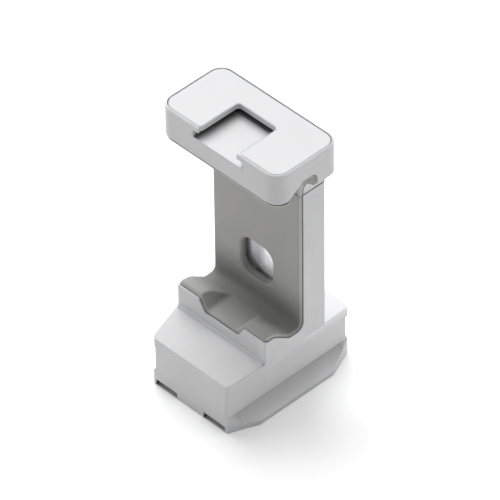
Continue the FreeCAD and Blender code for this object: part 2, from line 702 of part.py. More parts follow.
def make_parts():
    """Every node, by name."""
    right = {
        "guide_bush": make_guide_bush(),
        "return_spring": make_spring(),
        "guide_rod": make_guide_rod(),
        "spring_washer": make_spring_washer(),
        "rod_clip": make_rod_clip(),
    }
    parts = {
        "base_block": make_base_block(),
        "base_screws": make_base_screws(),
        "body_shell": make_body_shell(),
        "grip_pad": make_grip_pad(),
        "window_disc": make_window_disc(),
        "rear_cover": make_rear_cover(),
        "cover_screws": make_cover_screws(),
        "jaw_block": make_jaw_block(),
        "jaw_pad": make_jaw_pad(),
        "top_plate": make_top_plate(),
    }
    for name, shape in right.items():
        parts[name + "_right"] = shape
        parts[name + "_left"] = mirrored(shape)
    return parts


os.makedirs("parts", exist_ok=True)
for name, shape in make_parts().items():
    shape.exportStep("parts/" + name + ".step")
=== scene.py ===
import math

import bmesh
import bpy
from mathutils import Matrix, Vector
from mathutils.bvhtree import BVHTree


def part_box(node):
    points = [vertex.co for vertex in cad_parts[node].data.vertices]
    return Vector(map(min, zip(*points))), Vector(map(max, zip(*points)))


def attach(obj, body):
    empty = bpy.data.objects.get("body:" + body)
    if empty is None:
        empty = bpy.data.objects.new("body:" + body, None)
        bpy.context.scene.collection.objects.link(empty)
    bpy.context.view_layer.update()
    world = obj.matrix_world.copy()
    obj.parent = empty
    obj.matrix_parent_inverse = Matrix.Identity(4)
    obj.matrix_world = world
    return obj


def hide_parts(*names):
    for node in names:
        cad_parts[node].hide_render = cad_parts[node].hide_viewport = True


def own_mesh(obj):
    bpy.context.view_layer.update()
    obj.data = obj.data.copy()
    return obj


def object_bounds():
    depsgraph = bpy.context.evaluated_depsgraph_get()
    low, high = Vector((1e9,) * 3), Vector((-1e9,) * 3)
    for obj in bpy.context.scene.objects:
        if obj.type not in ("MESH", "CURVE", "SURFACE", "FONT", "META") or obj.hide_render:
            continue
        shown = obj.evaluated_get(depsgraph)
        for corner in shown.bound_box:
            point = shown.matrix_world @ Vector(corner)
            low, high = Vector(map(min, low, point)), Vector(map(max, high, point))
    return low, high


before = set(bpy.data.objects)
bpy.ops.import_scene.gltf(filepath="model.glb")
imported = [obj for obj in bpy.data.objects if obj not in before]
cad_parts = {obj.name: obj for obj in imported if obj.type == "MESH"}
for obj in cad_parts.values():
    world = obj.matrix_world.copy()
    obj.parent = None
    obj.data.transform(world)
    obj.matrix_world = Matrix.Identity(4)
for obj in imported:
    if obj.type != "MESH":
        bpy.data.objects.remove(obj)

cad_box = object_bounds()


# Camera
# A long lens that looks down on the holder's front right corner, from the photograph's side.
# It has no shift: the aim point is set off from the middle of the picture by moving the camera.
CAMERA_AZIMUTH = math.radians(46.136)
CAMERA_ELEVATION = math.radians(41.781)
CAMERA_ROLL = math.radians(-0.734)
CAMERA_DISTANCE = 1.5836
CAMERA_LENS_MM = 426.9
AIM_POINT = Vector((0.0, 0.0033, 0.07135))
AIM_RIGHT_OF_MIDDLE = 0.002114
AIM_ABOVE_MIDDLE = 0.02253

outward = Vector((
    math.sin(CAMERA_AZIMUTH) * math.cos(CAMERA_ELEVATION),
    -math.cos(CAMERA_AZIMUTH) * math.cos(CAMERA_ELEVATION),
    math.sin(CAMERA_ELEVATION),
))
level = Vector((math.cos(CAMERA_AZIMUTH), math.sin(CAMERA_AZIMUTH), 0.0))
steep = outward.cross(level)
rightward = level * math.cos(CAMERA_ROLL) + steep * math.sin(CAMERA_ROLL)
upward = steep * math.cos(CAMERA_ROLL) - level * math.sin(CAMERA_ROLL)
place = (AIM_POINT + outward * CAMERA_DISTANCE
         - rightward * AIM_RIGHT_OF_MIDDLE - upward * AIM_ABOVE_MIDDLE)

camera_data = bpy.data.cameras.new("camera")
camera_data.lens = CAMERA_LENS_MM
camera_data.sensor_width = 36.0
camera_data.clip_start = 0.05
camera_data.clip_end = 20.0
camera = bpy.data.objects.new("camera", camera_data)
bpy.context.scene.collection.objects.link(camera)
camera.matrix_world = Matrix((
    (rightward.x, upward.x, outward.x, place.x),
    (rightward.y, upward.y, outward.y, place.y),
    (rightward.z, upward.z, outward.z, place.z),
    (0.0, 0.0, 0.0, 1.0),
))
bpy.context.scene.camera = camera
bpy.context.scene.view_settings.view_transform = "Standard"


# Studio floor and light
# A white sheet in a dim tent, under one large soft lamp high at the left. Two weak lamps stand low
# at the left and at the right rear. Each lamp is its place, its width and its power in watts.
FLOOR_SIZE = 4.0
FLOOR_GAP = 0.00002
# Under the foot the sheet has no lift: a painted shadow on the floor beneath the holder.
FOOT_PAINTED_SHADOW = ((-0.0135, -0.0232, -0.001), (0.0135, 0.0232, 0.001))
FLOOR_BOUNCE = 0.96
FLOOR_SEEN = 0.92
FLOOR_LIFT = 0.27
TENT_GLOW = 0.335
TENT_SEEN = 1.0
LAMP_AIM = Vector((0.0, 0.0, 0.045))
KEY_LAMP = ((-0.47, 0.25, 1.08), 0.9, 13.2)
LEFT_LAMP = ((-1.05, -0.35, 0.45), 0.8, 2.5)
REAR_LAMP = ((0.75, 0.80, 0.35), 0.8, 2.6)


def work_out(tree, operation, *values, vectors=False):
    """Result of a math node over sockets and plain values."""
    node = tree.nodes.new("ShaderNodeVectorMath" if vectors else "ShaderNodeMath")
    node.operation = operation
    for socket, value in zip(node.inputs, values):
        if isinstance(value, bpy.types.NodeSocket):
            tree.links.new(value, socket)
        else:
            socket.default_value = value
    gives_number = not vectors or operation in ("LENGTH", "DOT_PRODUCT")
    return node.outputs["Value" if gives_number else "Vector"]


def rescale(tree, value, start, end, low, high):
    """Value from start to end, sent evenly to low to high and held there outside."""
    node = tree.nodes.new("ShaderNodeMapRange")
    for name, limit in (("From Min", start), ("From Max", end), ("To Min", low), ("To Max", high)):
        node.inputs[name].default_value = limit
    tree.links.new(value, node.inputs["Value"])
    return node.outputs["Result"]


def inside(tree, point, low, high):
    """A factor that is 1 in the box from low to high, and 0 outside it."""
    middle = (Vector(low) + Vector(high)) / 2
    from_middle = work_out(tree, "SUBTRACT", point, middle, vectors=True)
    either_way = work_out(tree, "ABSOLUTE", from_middle, vectors=True)
    past = work_out(tree, "SUBTRACT", either_way, Vector(high) - middle, vectors=True)
    parts = tree.nodes.new("ShaderNodeSeparateXYZ")
    tree.links.new(past, parts.inputs["Vector"])
    pair = work_out(tree, "MAXIMUM", parts.outputs["X"], parts.outputs["Y"])
    farthest = work_out(tree, "MAXIMUM", pair, parts.outputs["Z"])
    return work_out(tree, "LESS_THAN", farthest, 0.0)


def two_ways(tree, lighting, seen):
    """One shader for the light on other things, and another where the camera looks."""
    path = tree.nodes.new("ShaderNodeLightPath")
    chosen = tree.nodes.new("ShaderNodeMixShader")
    tree.links.new(path.outputs["Is Camera Ray"], chosen.inputs[0])
    tree.links.new(lighting.outputs[0], chosen.inputs[1])
    tree.links.new(seen.outputs[0], chosen.inputs[2])
    return chosen.outputs[0]


sheet_paper = bpy.data.materials.new("sheet_paper")
sheet_paper.use_nodes = True
tree = sheet_paper.node_tree
tree.nodes.clear()
bounce = tree.nodes.new("ShaderNodeBsdfDiffuse")
bounce.inputs["Color"].default_value = (FLOOR_BOUNCE, FLOOR_BOUNCE, FLOOR_BOUNCE, 1.0)
white = tree.nodes.new("ShaderNodeBsdfDiffuse")
white.inputs["Color"].default_value = (FLOOR_SEEN, FLOOR_SEEN, FLOOR_SEEN, 1.0)
lift = tree.nodes.new("ShaderNodeEmission")
spot = tree.nodes.new("ShaderNodeTexCoord")
# Painted shadow: no lift under the foot.
under = inside(tree, spot.outputs["Object"], *FOOT_PAINTED_SHADOW)
tree.links.new(rescale(tree, under, 0.0, 1.0, FLOOR_LIFT, 0.0), lift.inputs["Strength"])
seen = tree.nodes.new("ShaderNodeAddShader")
tree.links.new(white.outputs[0], seen.inputs[0])
tree.links.new(lift.outputs[0], seen.inputs[1])
surface_out = tree.nodes.new("ShaderNodeOutputMaterial")
tree.links.new(two_ways(tree, bounce, seen), surface_out.inputs["Surface"])

floor_mesh = bpy.data.meshes.new("floor")
shape = bmesh.new()
bmesh.ops.create_grid(shape, x_segments=1, y_segments=1, size=FLOOR_SIZE / 2)
bmesh.ops.translate(shape, verts=shape.verts, vec=(0.0, 0.0, -FLOOR_GAP))
shape.to_mesh(floor_mesh)
shape.free()
floor = bpy.data.objects.new("floor", floor_mesh)
bpy.context.scene.collection.objects.link(floor)
floor_mesh.materials.append(sheet_paper)

tent = bpy.data.worlds.new("tent")
bpy.context.scene.world = tent
tent.use_nodes = True
tree = tent.node_tree
tree.nodes.clear()
glow = tree.nodes.new("ShaderNodeBackground")
glow.inputs["Strength"].default_value = TENT_GLOW
plain = tree.nodes.new("ShaderNodeBackground")
plain.inputs["Strength"].default_value = TENT_SEEN
world_out = tree.nodes.new("ShaderNodeOutputWorld")
tree.links.new(two_ways(tree, glow, plain), world_out.inputs["Surface"])


def soft_lamp(name, place, size, power):
    """Square area lamp that faces the middle of the holder."""
    data = bpy.data.lights.new(name, "AREA")
    data.shape = "SQUARE"
    data.size = size
    data.energy = power
    lamp = bpy.data.objects.new(name, data)
    bpy.context.scene.collection.objects.link(lamp)
    lamp.location = place
    lamp.rotation_euler = (LAMP_AIM - Vector(place)).to_track_quat("-Z", "Y").to_euler()


soft_lamp("key_lamp", *KEY_LAMP)
soft_lamp("left_lamp", *LEFT_LAMP)
soft_lamp("rear_lamp", *REAR_LAMP)


# Base block
# Neck and dovetail foot, moulded in light grey glass-filled nylon with a fine even grain. Grooves
# run along its underside. Each tone by place is a box on the piece and the colour's share in it.
PLASTIC_PALE = (0.74, 0.74, 0.75)
PLASTIC_DEEP = (0.715, 0.715, 0.725)
PLASTIC_CLOUDS_PER_M = 60.0
PLASTIC_ROUGHNESS = 0.52
PLASTIC_ROUGHNESS_SPREAD = 0.04
PLASTIC_GRAIN_PER_M = 5200.0
PLASTIC_GRAIN_DEPTH = 0.000012
PLASTIC_GRAIN_STRENGTH = 0.25
PLASTIC_SHINE = 0.4
PLASTIC_EDGE = 0.00025
CLOUD_RANGE = (0.35, 0.65)
GRAIN_RANGE = (0.3, 0.7)
EDGE_SAMPLES = 6
EDGE_GAIN = 14.0
EDGE_HIGHLIGHT_TONE = 0.95
# Painted highlight along the plastic's edges.
PLASTIC_EDGE_HIGHLIGHT = 0.40
FRONT_JOINT = ((-0.0172, -0.0240, 0.0134), (0.0172, -0.0228, 0.0147))

PAST_FACES = 0.0001
FULL_DEPTH = (cad_box[0][1] - PAST_FACES, cad_box[1][1] + PAST_FACES)
UNDER_FLOOR = -0.001
GROOVE_FROM_MIDDLE = 0.009325
GROOVE_REACH = 0.00414
GROOVE_TOP = 0.00202
GROOVE_SHADE_SHARE = 0.22
FOOT_SIDE = (0.0170, 0.0184)
FOOT_HIGHLIGHT_BAND = (0.00141, 0.00170)
FOOT_HIGHLIGHT_SHARE = 1.13
FOOT_SHADE_TOP = 0.00115
FOOT_SHADE_SHARE = 0.93
SLOPE_SIDE = (0.01422, 0.0184)
SLOPE_HALF_DEPTH = 0.0192
SLOPE_LOW = 0.00170
SLOPE_TOP = 0.0070
SLOPE_LIGHT_SHARE = 1.09
SLOPE_SHADE_LOW = 0.0022
SLOPE_SHADE_HALF_DEPTH = 0.0195
SLOPE_SHADE_RISE = 0.00047
SLOPE_SHADE_SPREAD = 0.00036
SLOPE_SHADE_STEPS = 10
SLOPE_SHADE_SHARE = 0.948
NECK_SIDE = (0.0139, 0.0146)
NECK_HEIGHT = (0.0072, 0.01405)
NECK_LIGHT_FADE = (-0.0080, 0.0, 0.0080)
NECK_LIGHT_SHARE = 1.018


def new_finish(name, roughness, metallic=0.0):
    """A material with a principled shader, and its node tree and shader."""
    finish = bpy.data.materials.new(name)
    finish.use_nodes = True
    shader = finish.node_tree.nodes["Principled BSDF"]
    shader.inputs["Roughness"].default_value = roughness
    shader.inputs["Metallic"].default_value = metallic
    return finish, finish.node_tree, shader


def own_place(tree, centre=(0.0, 0.0, 0.0)):
    """The point on the piece, in metres, counted from centre."""
    source = tree.nodes.new("ShaderNodeTexCoord")
    mapping = tree.nodes.new("ShaderNodeMapping")
    mapping.vector_type = "POINT"
    mapping.inputs["Location"].default_value = tuple(-c for c in centre)
    tree.links.new(source.outputs["Object"], mapping.inputs["Vector"])
    return mapping.outputs["Vector"]


def noise(tree, point, scale, detail=2.0):
    """Even noise, in features to the metre."""
    texture = tree.nodes.new("ShaderNodeTexNoise")
    texture.inputs["Scale"].default_value = scale
    texture.inputs["Detail"].default_value = detail
    tree.links.new(point, texture.inputs["Vector"])
    return texture.outputs["Fac"]


def wander(tree, shader, value, low, high):
    """Colour that goes from low to high over the middle of a noise's range."""
    ramp = tree.nodes.new("ShaderNodeValToRGB")
    for element, position, colour in zip(ramp.color_ramp.elements, CLOUD_RANGE, (low, high)):
        element.position = position
        element.color = (*colour, 1.0)
    tree.links.new(value, ramp.inputs["Fac"])
    tree.links.new(ramp.outputs["Color"], shader.inputs["Base Color"])


def vary(tree, value, socket, low, high):
    """Sends the middle of a noise's range to a socket, between low and high."""
    tree.links.new(rescale(tree, value, *GRAIN_RANGE, low, high), socket)


def soft_normal(tree, radius):
    """The surface's direction as if its edges were rounded."""
    rounded = tree.nodes.new("ShaderNodeBevel")
    rounded.samples = EDGE_SAMPLES
    rounded.inputs["Radius"].default_value = radius
    return rounded.outputs["Normal"]


def emboss(tree, shader, height, strength, depth, edge=0.0):
    """Bump from a height between 0 and 1, over edges that look rounded to the radius edge."""
    bump = tree.nodes.new("ShaderNodeBump")
    bump.inputs["Strength"].default_value = strength
    bump.inputs["Distance"].default_value = depth
    if edge:
        tree.links.new(soft_normal(tree, edge), bump.inputs["Normal"])
    tree.links.new(height, bump.inputs["Height"])
    tree.links.new(bump.outputs["Normal"], shader.inputs["Normal"])


def lay_over(tree, shader, factor, grey, blend):
    """Lays a grey over the shader's colour, as much as the factor says."""
    under = shader.inputs["Base Color"].links[0].from_socket
    layer = tree.nodes.new("ShaderNodeMix")
    layer.data_type = "RGBA"
    layer.blend_type = blend
    sockets = {socket.identifier: socket for socket in layer.inputs}
    sockets["B_Color"].default_value = (grey, grey, grey, 1.0)
    tree.links.new(factor, sockets["Factor_Float"])
    tree.links.new(under, sockets["A_Color"])
    result = [socket for socket in layer.outputs if socket.identifier == "Result_Color"][0]
    tree.links.new(result, shader.inputs["Base Color"])


def paint_edge_highlights(tree, shader, radius, amount, point, calm=None):
    """Paints highlights along edges by lightening the colour, but not in the box calm."""
    flat = tree.nodes.new("ShaderNodeNewGeometry").outputs["Normal"]
    along = work_out(tree, "DOT_PRODUCT", soft_normal(tree, radius), flat, vectors=True)
    edge = rescale(tree, along, 1.0, 1.0 - 1.0 / EDGE_GAIN, 0.0, amount)
    if calm:
        edge = work_out(tree, "SUBTRACT", edge, inside(tree, point, *calm))
        edge.node.use_clamp = True
    lay_over(tree, shader, edge, EDGE_HIGHLIGHT_TONE, "MIX")


def tone_places(tree, shader, point, places):
    """Colour times a place's share in each place, a box from low to high."""
    for low, high, share in places:
        lay_over(tree, shader, inside(tree, point, low, high), share, "MULTIPLY")


def both_sides(x_range, y_range, z_range, share):
    """A place on the right and its mirror image on the left."""
    places = []
    for near, far in (x_range, (-x_range[1], -x_range[0])):
        low, high = zip((near, far), y_range, z_range)
        places.append((low, high, share))
    return places


def dress(node, finish):
    """Gives a carried-over node its finish."""
    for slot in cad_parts[node].material_slots:
        slot.material = finish


def moulded_plastic(name, places=()):
    """Fine-grained plastic whose colour wanders by a few hundredths, with painted edge highlights and its
    tones by place.
    """
    finish, tree, shader = new_finish(name, PLASTIC_ROUGHNESS)
    point = own_place(tree)
    wander(tree, shader, noise(tree, point, PLASTIC_CLOUDS_PER_M), PLASTIC_DEEP, PLASTIC_PALE)
    grain = noise(tree, point, PLASTIC_GRAIN_PER_M, detail=1.0)
    vary(tree, grain, shader.inputs["Roughness"],
         PLASTIC_ROUGHNESS - PLASTIC_ROUGHNESS_SPREAD, PLASTIC_ROUGHNESS + PLASTIC_ROUGHNESS_SPREAD)
    emboss(tree, shader, grain, PLASTIC_GRAIN_STRENGTH, PLASTIC_GRAIN_DEPTH, PLASTIC_EDGE)
    shader.inputs["Specular IOR Level"].default_value = PLASTIC_SHINE
    paint_edge_highlights(tree, shader, PLASTIC_EDGE, PLASTIC_EDGE_HIGHLIGHT, point, FRONT_JOINT)
    tone_places(tree, shader, point, places)
    return finish


# Painted shade inside the grooves and along the foot's lower edge, with a painted highlight line just
# above that edge.
groove = (GROOVE_FROM_MIDDLE - GROOVE_REACH, GROOVE_FROM_MIDDLE + GROOVE_REACH)
foot_light_and_shade = both_sides(groove, FULL_DEPTH, (UNDER_FLOOR, GROOVE_TOP), GROOVE_SHADE_SHARE)
foot_light_and_shade += both_sides(FOOT_SIDE, FULL_DEPTH, FOOT_HIGHLIGHT_BAND, FOOT_HIGHLIGHT_SHARE)
foot_light_and_shade += both_sides(FOOT_SIDE, FULL_DEPTH, (UNDER_FLOOR, FOOT_SHADE_TOP), FOOT_SHADE_SHARE)
# Painted light on the foot's slope, with painted shade on it that is darkest next to the neck, and painted
# light on the neck's side, lighter towards the rear.
slope_depth = (-SLOPE_HALF_DEPTH, SLOPE_HALF_DEPTH)
foot_light_and_shade += both_sides(SLOPE_SIDE, slope_depth, (SLOPE_LOW, SLOPE_TOP), SLOPE_LIGHT_SHARE)
for step in range(SLOPE_SHADE_STEPS):
    low = SLOPE_SHADE_LOW + SLOPE_SHADE_RISE * step
    end = SLOPE_SHADE_HALF_DEPTH + SLOPE_SHADE_SPREAD * step
    foot_light_and_shade += both_sides(SLOPE_SIDE, (-end, end), (low, SLOPE_TOP), SLOPE_SHADE_SHARE)
neck_painted_light = []
for start in NECK_LIGHT_FADE:
    neck_painted_light += both_sides(NECK_SIDE, (start, FULL_DEPTH[1]), NECK_HEIGHT, NECK_LIGHT_SHARE)
dress("base_block", moulded_plastic("base_plastic", foot_light_and_shade + neck_painted_light))


# Body shell
# Column, lower jaw, wedge-shaped nose and rim in one moulding of the same nylon. The column's top face
# carries painted shade, so that the seam under the upper jaw stays dark. The sill of its window, which
# shows a little below the lining, has the lining's tone.
SEAM_HALF_WIDTH = 0.02
SEAM_DEPTH = (-0.02, 0.02)
SEAM_HEIGHT = (0.07112, 0.07158)
SEAM_SHADE_SHARE = 0.36
SILL_HALF_WIDTH = 0.0078
SILL_DEPTH = (0.0032, 0.0036)
SILL_HEIGHT = (0.0308, 0.0333)
SILL_SHARE = 0.45
RIM_SIDE = (0.0141, 0.0153)
RIM_FRONT = -0.0060
RIM_LOW = 0.01407
RIM_TOP = 0.01698
RIM_PAINTED_LIGHT_SHARE = 1.05
RIM_LIGHT_RISE = 0.00049
RIM_LIGHT_STEPS = 6
RIM_LIGHT_FADE = (0.0050, 0.0062, 0.0074, 0.0086)
RIM_LIGHT_SHARE = 1.01
COLUMN_SIDE = (0.0141, 0.0175)
COLUMN_DEPTH = (-0.0125, 0.0125)
COLUMN_SIDE_LOW = 0.0177
COLUMN_SIDE_LIGHT_FADE = (0.0420, 0.0500, 0.0580, 0.0660)
COLUMN_SIDE_LIGHT_SHARE = 1.012
LEDGE_HALF_WIDTH = 0.0150
LEDGE_FRONT = 0.0119
LEDGE_HEIGHT = (0.01698, 0.0173)
LEDGE_LIGHT_SHARE = 1.08


def across(half_width, y_range, z_range, share):
    """A place that spans the middle of the piece."""
    low, high = zip((-half_width, half_width), y_range, z_range)
    return [(low, high, share)]


# Painted shade on the column's top face in the seam under the upper jaw.
seam_shade = across(SEAM_HALF_WIDTH, SEAM_DEPTH, SEAM_HEIGHT, SEAM_SHADE_SHARE)
body_places = seam_shade + across(SILL_HALF_WIDTH, SILL_DEPTH, SILL_HEIGHT, SILL_SHARE)
# Painted light: the rim's side lighter towards the top and the rear, the column's side lighter towards the
# bottom, and the rear ledge's top lighter.
body_places += both_sides(RIM_SIDE, (RIM_FRONT, FULL_DEPTH[1]), (RIM_LOW, RIM_TOP), RIM_PAINTED_LIGHT_SHARE)
for step in range(RIM_LIGHT_STEPS):
    band = (RIM_LOW + RIM_LIGHT_RISE * step, RIM_TOP)
    for start in RIM_LIGHT_FADE:
        body_places += both_sides(RIM_SIDE, (start, FULL_DEPTH[1]), band, RIM_LIGHT_SHARE)
for top in COLUMN_SIDE_LIGHT_FADE:
    body_places += both_sides(COLUMN_SIDE, COLUMN_DEPTH, (COLUMN_SIDE_LOW, top), COLUMN_SIDE_LIGHT_SHARE)
body_places += across(LEDGE_HALF_WIDTH, (LEDGE_FRONT, FULL_DEPTH[1]), LEDGE_HEIGHT, LEDGE_LIGHT_SHARE)
dress("body_shell", moulded_plastic("body_plastic", body_places))


# Rear cover
# Flat nylon cover let into the column's back and held by two screws. It closes the springs'
# hollow and presses the disc into its seat.
dress("rear_cover", moulded_plastic("cover_plastic"))


# Upper jaw block
# Nylon block that slides on the two rods. The shoe's channel is milled into its top, and the channel's
# walls, its end and its floor at the left and rear carry painted shadow under the plate's rails.
CHANNEL_HALF_WIDTH = 0.0094
CHANNEL_DEPTH = (-0.0106, 0.0060)
CHANNEL_WALL_HEIGHT = (0.08504, 0.08726)
CHANNEL_WALL_SHADOW_SHARE = 0.08
CHANNEL_END_SHADOW = ((0.0092, -0.0125, 0.0850), (0.0096, -0.0104, 0.0863), 0.50)
CHANNEL_FLOOR = (0.0848, 0.08504)
CHANNEL_FLOOR_DEPTH = (-0.0115, 0.0060)
SHADOW_STEPS = 5
LEFT_SHADOW = -0.0074
LEFT_SHADOW_STEP = 0.0003
LEFT_SHADOW_SHARE = 0.72
REAR_SHADOW = 0.0034
REAR_SHADOW_STEP = 0.00015
REAR_SHADOW_SHARE = 0.80

# Painted shade of the seam on the block's underside, and painted shadow on the channel's walls, at its end
# and on its floor at the left and rear.
jaw_places = seam_shade + across(CHANNEL_HALF_WIDTH, CHANNEL_DEPTH, CHANNEL_WALL_HEIGHT, CHANNEL_WALL_SHADOW_SHARE)
jaw_places.append(CHANNEL_END_SHADOW)
for step in range(SHADOW_STEPS):
    left = (-CHANNEL_HALF_WIDTH, LEFT_SHADOW - LEFT_SHADOW_STEP * step)
    low, high = zip(left, CHANNEL_FLOOR_DEPTH, CHANNEL_FLOOR)
    jaw_places.append((low, high, LEFT_SHADOW_SHARE))
    rear = (REAR_SHADOW + REAR_SHADOW_STEP * step, CHANNEL_DEPTH[1])
    jaw_places += across(CHANNEL_HALF_WIDTH, rear, CHANNEL_FLOOR, REAR_SHADOW_SHARE)
dress("jaw_block", moulded_plastic("jaw_plastic", jaw_places))


# Grip linings
# Warm grey silicone rubber, overmoulded on both jaws and the column's face, with round edges all
# over and a dry velvety skin. It meets the plastic in a narrow groove.
RUBBER_PALE = (0.450, 0.448, 0.442)
RUBBER_DEEP = (0.430, 0.428, 0.422)
RUBBER_CLOUDS_PER_M = 90.0
RUBBER_GRAIN_PER_M = 4200.0
RUBBER_GRAIN_DEPTH = 0.00002
RUBBER_GRAIN_STRENGTH = 0.3
RUBBER_ROUGHNESS = (0.66, 0.78)
RUBBER_SHEEN = 0.15
RUBBER_SHINE = 0.3
LINING_GRID = 0.00027
LINING_EASE = 5
MERGE_WITHIN = 0.000001
SHEET_FACE = 0.0019
SHEET_BACK = 0.0033
SHEET_TURN = 0.0003
WINDOW_DROP = 0.00155
WINDOW_WALL_DROP = 0.00085
WINDOW_WALL_LOW = 0.03208
WINDOW_SIDE_FADE = (0.0078, 0.0155)
WINDOW_UPPER_FADE = (0.0475, 0.0600)
WINDOW_LOWER_FADE = (0.0310, 0.0268)
WINDOW_WALL_SHADE = (0.008, (0.0031, 0.0090), (0.029, 0.048), 0.85)
LINING_RIM_LIGHT = ((0.01635, 0.0180), (-0.02, 0.02), (0.02, 0.09), 1.34)
SHADY_CORNER = (0.0, 0.0015, 0.0250)
SHADY_CORNER_REACH = (0.0015, 0.0130)
SHADY_CORNER_SHARE = 0.60


def fade(value, full, none):
    """1 up to full, 0 from none on, and even between."""
    share = min(max((none - value) / (none - full), 0.0), 1.0)
    return share * share * (3 - 2 * share)


def lower_window(mesh):
    """Sets the window's mouth lower in the column's sheet, which stays flat."""
    for vert in mesh.vertices:
        x, y, z = vert.co
        if y < SHEET_FACE:
            continue
        share = fade(abs(x), *WINDOW_SIDE_FADE) * fade(z, *WINDOW_UPPER_FADE) * fade(z, *WINDOW_LOWER_FADE)
        deep = min(max((y - SHEET_BACK) / SHEET_TURN, 0.0), 1.0)
        drop = share * (WINDOW_DROP + deep * (WINDOW_WALL_DROP - WINDOW_DROP))
        vert.co.z = z - drop
        if deep == 1.0 and share == 1.0:
            vert.co.z = max(vert.co.z, WINDOW_WALL_LOW)


def finished_piece(name, mesh, finish, body):
    """Smooth-shaded object of one finish that rides on body."""
    for face in mesh.polygons:
        face.use_smooth = True
    mesh.materials.clear()
    mesh.materials.append(finish)
    piece = bpy.data.objects.new(name, mesh)
    bpy.context.scene.collection.objects.link(piece)
    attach(piece, body)
    return piece


def evaluated_mesh(thing):
    """Mesh of an object with its modifiers or bevel applied. The object goes."""
    bpy.context.scene.collection.objects.link(thing)
    graph = bpy.context.evaluated_depsgraph_get()
    mesh = bpy.data.meshes.new_from_object(thing.evaluated_get(graph))
    bpy.data.objects.remove(thing)
    return mesh


def soft_lining(node, body, finish):
    """The lining as one rounded skin, in place of its plain solid."""
    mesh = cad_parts[node].data.copy()
    shape = bmesh.new()
    shape.from_mesh(mesh)
    bmesh.ops.remove_doubles(shape, verts=shape.verts, dist=MERGE_WITHIN)
    shape.to_mesh(mesh)
    shape.free()
    rough = bpy.data.objects.new(node + "_rough", mesh)
    skin = rough.modifiers.new("skin", "REMESH")
    skin.mode = "VOXEL"
    skin.voxel_size = LINING_GRID
    ease = rough.modifiers.new("ease", "SMOOTH")
    ease.factor = 0.5
    ease.iterations = LINING_EASE
    mesh = evaluated_mesh(rough)
    if node == "grip_pad":
        lower_window(mesh)
    lining = finished_piece(node + "_skin", mesh, finish, body)
    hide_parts(node)


def distance_from(tree, centre, flattened):
    """Distance in metres from the line through centre along one axis, X, Y or Z."""
    kept = tuple(0.0 if axis == flattened else 1.0 for axis in "XYZ")
    level = work_out(tree, "MULTIPLY", own_place(tree, centre), kept, vectors=True)
    return work_out(tree, "LENGTH", level, vectors=True)


grip_rubber, tree, shader = new_finish("grip_rubber", sum(RUBBER_ROUGHNESS) / 2)
point = own_place(tree)
wander(tree, shader, noise(tree, point, RUBBER_CLOUDS_PER_M), RUBBER_DEEP, RUBBER_PALE)
grain = noise(tree, point, RUBBER_GRAIN_PER_M, detail=1.0)
vary(tree, grain, shader.inputs["Roughness"], *RUBBER_ROUGHNESS)
emboss(tree, shader, grain, RUBBER_GRAIN_STRENGTH, RUBBER_GRAIN_DEPTH)
shader.inputs["Sheen Weight"].default_value = RUBBER_SHEEN
shader.inputs["Specular IOR Level"].default_value = RUBBER_SHINE
# Painted shade on the window's wall and in the corner above the shelf, and painted light along the
# lining's side edges.
tone_places(tree, shader, point, across(*WINDOW_WALL_SHADE))
corner = rescale(tree, distance_from(tree, SHADY_CORNER, "X"), *SHADY_CORNER_REACH, 1.0, 0.0)
corner.node.interpolation_type = "SMOOTHSTEP"
lay_over(tree, shader, corner, SHADY_CORNER_SHARE, "MULTIPLY")
tone_places(tree, shader, point, both_sides(*LINING_RIM_LIGHT))
soft_lining("grip_pad", "root", grip_rubber)
soft_lining("jaw_pad", "upper_jaw", grip_rubber)


# Joint lines
# Fine dark line where each lining's edge meets the plastic, along the edges of the faces that the two
# pieces share. It is painted shade for the narrow groove there.
JOINT_RADIUS = 0.00009
JOINT_TOUCH = 0.00004
JOINT_FACING = -0.8
JOINT_SHADE_PALE = (0.10, 0.10, 0.098)
JOINT_SHADE_DEEP = (0.07, 0.07, 0.068)
JOINT_CLOUDS_PER_M = 400.0
JOINT_ROUGHNESS = 0.8

groove_shade_dark, tree, shader = new_finish("groove_shade_dark", JOINT_ROUGHNESS)
point = own_place(tree)
wander(tree, shader, noise(tree, point, JOINT_CLOUDS_PER_M), JOINT_SHADE_DEEP, JOINT_SHADE_PALE)


def tube(name, runs, radius, finish, body):
    """Smooth tube along each run of points, as a mesh that rides on body."""
    curve = bpy.data.curves.new(name, "CURVE")
    curve.dimensions = "3D"
    curve.bevel_depth = radius
    curve.bevel_resolution = 2
    curve.use_fill_caps = True
    for run in runs:
        spline = curve.splines.new("POLY")
        spline.points.add(len(run) - 1)
        for spot, place in zip(spline.points, run):
            spot.co = (*place, 1.0)
    mesh = evaluated_mesh(bpy.data.objects.new(name + "_curve", curve))
    finished_piece(name, mesh, finish, body)


def joint_line(node, neighbour, body):
    """Thin line round the faces of node that lie on its neighbour."""
    shape = bmesh.new()
    shape.from_mesh(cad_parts[node].data)
    bmesh.ops.remove_doubles(shape, verts=shape.verts, dist=MERGE_WITHIN)
    shape.normal_update()
    other = bmesh.new()
    other.from_mesh(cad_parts[neighbour].data)
    surface = BVHTree.FromBMesh(other)
    touching = set()
    for face in shape.faces:
        _, facing, _, gap = surface.find_nearest(face.calc_center_median())
        if gap < JOINT_TOUCH and facing.dot(face.normal) < JOINT_FACING:
            touching.add(face.index)
    runs = []
    for edge in shape.edges:
        sides = [face.index in touching for face in edge.link_faces]
        if len(sides) == 2 and sides[0] != sides[1]:
            runs.append([vert.co.copy() for vert in edge.verts])
    other.free()
    shape.free()
    tube(node + "_joint", runs, JOINT_RADIUS, groove_shade_dark, body)


joint_line("grip_pad", "body_shell", "root")
joint_line("jaw_pad", "jaw_block", "upper_jaw")


